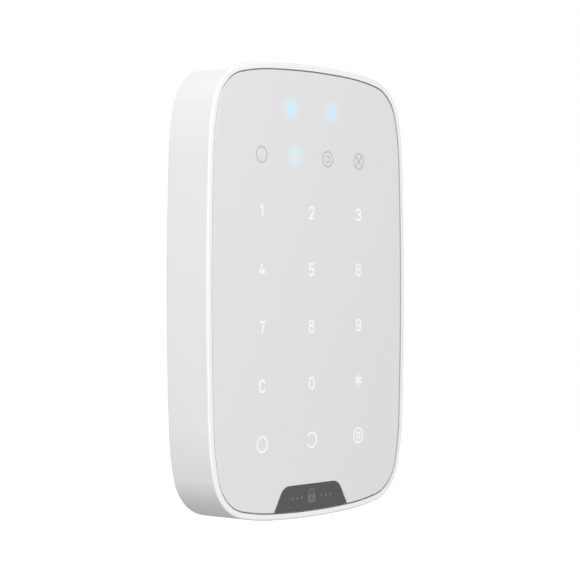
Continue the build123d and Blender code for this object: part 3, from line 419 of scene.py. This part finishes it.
def clear_film(name):
    """Light-guide film with a fine dot lattice."""
    surface = Surface(name, (0.93, 0.96, 0.98), 0.2, specular=0.5)
    surface.shader.inputs["Transmission Weight"].default_value = 0.55
    dots = surface.nodes.new("ShaderNodeTexVoronoi")
    dots.inputs["Scale"].default_value = 1 / (0.8 * MM)
    dots.inputs["Randomness"].default_value = 0.15
    surface.links.new(surface.place, dots.inputs["Vector"])
    surface.bump(dots.outputs["Distance"], 0.03, 0.5)
    surface.gloss(surface.noise(2, 2), 0.05)
    return surface.material


def foam(name, color):
    """Closed-cell foam tape."""
    surface = Surface(name, color, 0.85, specular=0.2)
    cells = surface.nodes.new("ShaderNodeTexVoronoi")
    cells.inputs["Scale"].default_value = 1 / (0.2 * MM)
    surface.links.new(surface.place, cells.inputs["Vector"])
    surface.tint(surface.noise(1, 3), 0.2)
    surface.gloss(surface.noise(1, 2), 0.05)
    surface.bump(cells.outputs["Distance"], 0.05, 0.6)
    return surface.material


def brushed_label(name, color):
    """Plain metallised label, brushed along X."""
    surface = Surface(name, color, 0.38, metallic=0.7)
    stretched = surface.nodes.new("ShaderNodeMapping")
    stretched.inputs["Scale"].default_value = (0.03, 1, 1)
    surface.links.new(surface.place, stretched.inputs["Vector"])
    surface.place = stretched.outputs["Vector"]
    surface.tint(surface.noise(0.3, 3), 0.05)
    surface.gloss(surface.noise(0.2, 3), 0.08)
    surface.bump(surface.noise(0.15, 2), 0.004, 0.3)
    return surface.material


def make_materials():
    """One material for each material slot of the record."""
    return {
        # shell_white carries painted shade on the wall round the panel
        "shell_white": moulded_plastic("shell_white", (0.88, 0.88, 0.88), inside_painted_shade=0.62),
        "panel_grey": coated_panel("panel_grey", (0.76, 0.76, 0.76)),
        "legend_white": print_ink("legend_white", (0.93, 0.93, 0.93), (1, 1, 1), 0.03),
        "symbol_grey": print_ink("symbol_grey", (0.55, 0.55, 0.555)),
        "light_blue": print_ink("light_blue", (0.46, 0.60, 0.66), LIT_COLOR, 0.33),
        "badge_grey": moulded_plastic("badge_grey", (0.095, 0.095, 0.096), 0.5, 0.2, 0.015),
        "emblem_grey": moulded_plastic("emblem_grey", (0.17, 0.17, 0.172), 0.4, 0.2, 0.008),
        "foam_black": foam("foam_black", (0.03, 0.03, 0.03)),
        "light_guide_clear": clear_film("light_guide_clear"),
        "led_white": moulded_plastic("led_white", (0.85, 0.80, 0.55), 0.3),
        "board_green": circuit_board("board_green", (0.02, 0.16, 0.06)),
        "board_black": circuit_board("board_black", (0.015, 0.018, 0.02)),
        "copper": metal("copper", (0.72, 0.38, 0.22), 0.32),
        "tin": metal("tin", (0.70, 0.71, 0.71), 0.28),
        "chip_black": moulded_plastic("chip_black", (0.025, 0.025, 0.027), 0.5, 0.15, 0.01),
        "plastic_black": moulded_plastic("plastic_black", (0.03, 0.03, 0.032), 0.45),
        "flex_amber": print_ink("flex_amber", (0.42, 0.19, 0.03)),
        "cell_wrap": wrapped_cell("cell_wrap", (0.02, 0.07, 0.22)),
        "spring_steel": metal("spring_steel", (0.78, 0.77, 0.75), 0.2),
        "lead_red": moulded_plastic("lead_red", (0.5, 0.02, 0.02), 0.4),
        "lead_black": moulded_plastic("lead_black", (0.015, 0.015, 0.015), 0.4),
        "cover_white": moulded_plastic("cover_white", (0.80, 0.80, 0.795), 0.5, 0.35, 0.03),
        "label_silver": brushed_label("label_silver", (0.62, 0.63, 0.64)),
        "bracket_white": moulded_plastic("bracket_white", (0.82, 0.82, 0.815), 0.48, 0.3, 0.02),
        "screw_zinc": metal("screw_zinc", (0.66, 0.67, 0.69), 0.3),
        "brass": metal("brass", (0.76, 0.56, 0.24), 0.28),
        "button_grey": moulded_plastic("button_grey", (0.20, 0.205, 0.21), 0.55),
    }


def finish_cad_nodes(materials):
    """Give every carried-over CAD node the material of its slot."""
    for part in frame["record"]["subparts"]:
        node = frame["nodes"][part["node"]]
        node.data.materials.clear()
        node.data.materials.append(materials[part["material_slot"]])


# ---------------------------------------------------------------- pieces built here
def mesh_object(name, points, faces, material):
    """Smooth-shaded object in the row frame, from points in metres."""
    mesh = bpy.data.meshes.new(name)
    mesh.from_pydata(points, [], faces)
    mesh.materials.append(material)
    mesh.polygons.foreach_set("use_smooth", [True] * len(mesh.polygons))
    mesh.update()
    piece = bpy.data.objects.new(name, mesh)
    bpy.context.scene.collection.objects.link(piece)
    return piece


def swept_wire(path, radius, sides=10):
    """Points and faces of a closed round wire along path, for a coil whose axis is Y."""
    points, faces = [], []
    for index, here in enumerate(path):
        ahead = (path[min(index + 1, len(path) - 1)] - path[max(index - 1, 0)]).normalized()
        across = ahead.cross(Vector((0, 1, 0))).normalized()
        upward = across.cross(ahead)
        for side in range(sides):
            turn = 2 * pi * side / sides
            points.append(here + across * radius * cos(turn) + upward * radius * sin(turn))
    for index in range(len(path) - 1):
        for side in range(sides):
            a = index * sides + side
            b = index * sides + (side + 1) % sides
            faces.append((a, b, b + sides, a + sides))
    last = (len(path) - 1) * sides
    faces.append(tuple(range(sides - 1, -1, -1)))
    faces.append(tuple(range(last, last + sides)))
    return points, faces


PLUNGER_Z = 26.0 * MM
SPRING_FRONT, SPRING_BACK = -8.68 * MM, -5.92 * MM
SPRING_R = 1.5 * MM
SPRING_WIRE_R = 0.16 * MM
SPRING_TURNS = 4.5
# Shares of the wire in each end turn, and of the height in the open turns between them
END_TURN, OPEN_HEIGHT = 0.17, 0.75
SPRING_STEPS = 180


def build_tamper_spring(material):
    """Compression spring with closed end turns, between the switch and the plunger's flange."""
    height = SPRING_BACK - SPRING_FRONT - 2 * SPRING_WIRE_R
    path = []
    for step in range(SPRING_STEPS + 1):
        share = step / SPRING_STEPS
        opened = min(max((share - END_TURN) / (1 - 2 * END_TURN), 0), 1)
        closed = (share - opened * (1 - 2 * END_TURN)) / (2 * END_TURN)
        rise = SPRING_WIRE_R + height * (OPEN_HEIGHT * opened + (1 - OPEN_HEIGHT) * closed)
        turn = 2 * pi * SPRING_TURNS * share
        path.append(Vector((SPRING_R * cos(turn), SPRING_FRONT + rise, PLUNGER_Z + SPRING_R * sin(turn))))
    points, faces = swept_wire(path, SPRING_WIRE_R)
    spring = mesh_object("tamper_spring_coil", points, faces, material)
    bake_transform(spring)
    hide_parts("tamper_spring")


SCREW_Y = -5.0 * MM
SCREW_SIDES = 48
HEAD_LOW, HEAD_TOP = -82.25 * MM, -80.77 * MM
HEAD_R, HEAD_CHAMFER = 2.7 * MM, 0.3 * MM
NECK_R, NECK_TOP = 1.24 * MM, -79.95 * MM
THREAD_R, THREAD_DEPTH, THREAD_PITCH = 1.45 * MM, 0.28 * MM, 1.0 * MM
THREAD_RUNOUT, CREST_SLOPE, THREAD_STEPS = 0.6 * MM, 1.6, 110
TIP_Z, TIP_R = -70.4 * MM, 0.85 * MM
DRIVE_ARM, DRIVE_HALF, DRIVE_DEPTH = 1.6 * MM, 0.35 * MM, 0.9 * MM


def thread_radius(z, turn):
    """Radius of the screw at height z and angle turn: V thread that runs out at the neck and the tip."""
    phase = ((z - NECK_TOP) / THREAD_PITCH - turn / (2 * pi)) % 1.0
    crest = min(1.0, CREST_SLOPE * abs(2 * phase - 1))
    fade = min(1.0, (z - NECK_TOP) / THREAD_RUNOUT, (TIP_Z - z) / THREAD_RUNOUT)
    radius = THREAD_R - THREAD_DEPTH * (1 - crest)
    low = NECK_R if z < (NECK_TOP + TIP_Z) / 2 else TIP_R
    return low + (radius - low) * max(fade, 0)


def build_retaining_screw(material):
    """Captive machine screw with a real thread and a cross-recessed head."""
    form = bmesh.new()
    turns = [2 * pi * side / SCREW_SIDES for side in range(SCREW_SIDES)]

    def ring(z, radius_at):
        return [form.verts.new((radius_at(t) * cos(t), SCREW_Y + radius_at(t) * sin(t), z)) for t in turns]

    def join(lower, upper):
        for a, b, c, d in zip(lower, lower[1:] + lower[:1], upper[1:] + upper[:1], upper):
            form.faces.new((a, b, c, d))

    rings = [
        ring(HEAD_LOW, lambda t: HEAD_R - HEAD_CHAMFER),
        ring(HEAD_LOW + HEAD_CHAMFER, lambda t: HEAD_R),
        ring(HEAD_TOP, lambda t: HEAD_R),
        ring(HEAD_TOP, lambda t: NECK_R),
        ring(NECK_TOP, lambda t: NECK_R),
    ]
    for step in range(1, THREAD_STEPS + 1):
        z = NECK_TOP + (TIP_Z - NECK_TOP) * step / THREAD_STEPS
        rings.append(ring(z, lambda t, z=z: thread_radius(z, t)))
    for lower, upper in zip(rings, rings[1:]):
        join(lower, upper)
    form.faces.new(rings[-1])

    # Cross recess: an outline in the head's face, walls and a floor
    quarter = ((DRIVE_ARM, -DRIVE_HALF), (DRIVE_ARM, DRIVE_HALF), (DRIVE_HALF, DRIVE_HALF))
    outline = []
    for count in range(4):
        spin = count * pi / 2
        outline += [(x * cos(spin) - y * sin(spin), x * sin(spin) + y * cos(spin)) for x, y in quarter]
    mouth = [form.verts.new((x, SCREW_Y + y, HEAD_LOW)) for x, y in outline]
    floor = [form.verts.new((x, SCREW_Y + y, HEAD_LOW + DRIVE_DEPTH)) for x, y in outline]
    join(floor, mouth)
    form.faces.new(floor)
    rim = [form.edges.get((a, b)) for a, b in zip(rings[0], rings[0][1:] + rings[0][:1])]
    edge = [form.edges.get((a, b)) for a, b in zip(mouth, mouth[1:] + mouth[:1])]
    bmesh.ops.triangle_fill(form, edges=rim + edge, use_beauty=True)
    bmesh.ops.recalc_face_normals(form, faces=form.faces)

    mesh = bpy.data.meshes.new("retaining_screw_threaded")
    form.to_mesh(mesh)
    form.free()
    mesh.materials.append(material)
    screw = bpy.data.objects.new("retaining_screw_threaded", mesh)
    bpy.context.scene.collection.objects.link(screw)
    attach(screw, "screw")
    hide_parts("retaining_screw")


# ---------------------------------------------------------------- the scene
bpy.context.scene.view_settings.view_transform = "Standard"
add_camera()
add_world()
add_floor()
add_softbox("key_light", KEY_PLACE, KEY_WATTS)
add_softbox("fill_light", FILL_PLACE, FILL_WATTS)
add_softbox("rear_light", REAR_PLACE, REAR_WATTS)
materials = make_materials()
finish_cad_nodes(materials)
build_tamper_spring(materials["spring_steel"])
build_retaining_screw(materials["screw_zinc"])
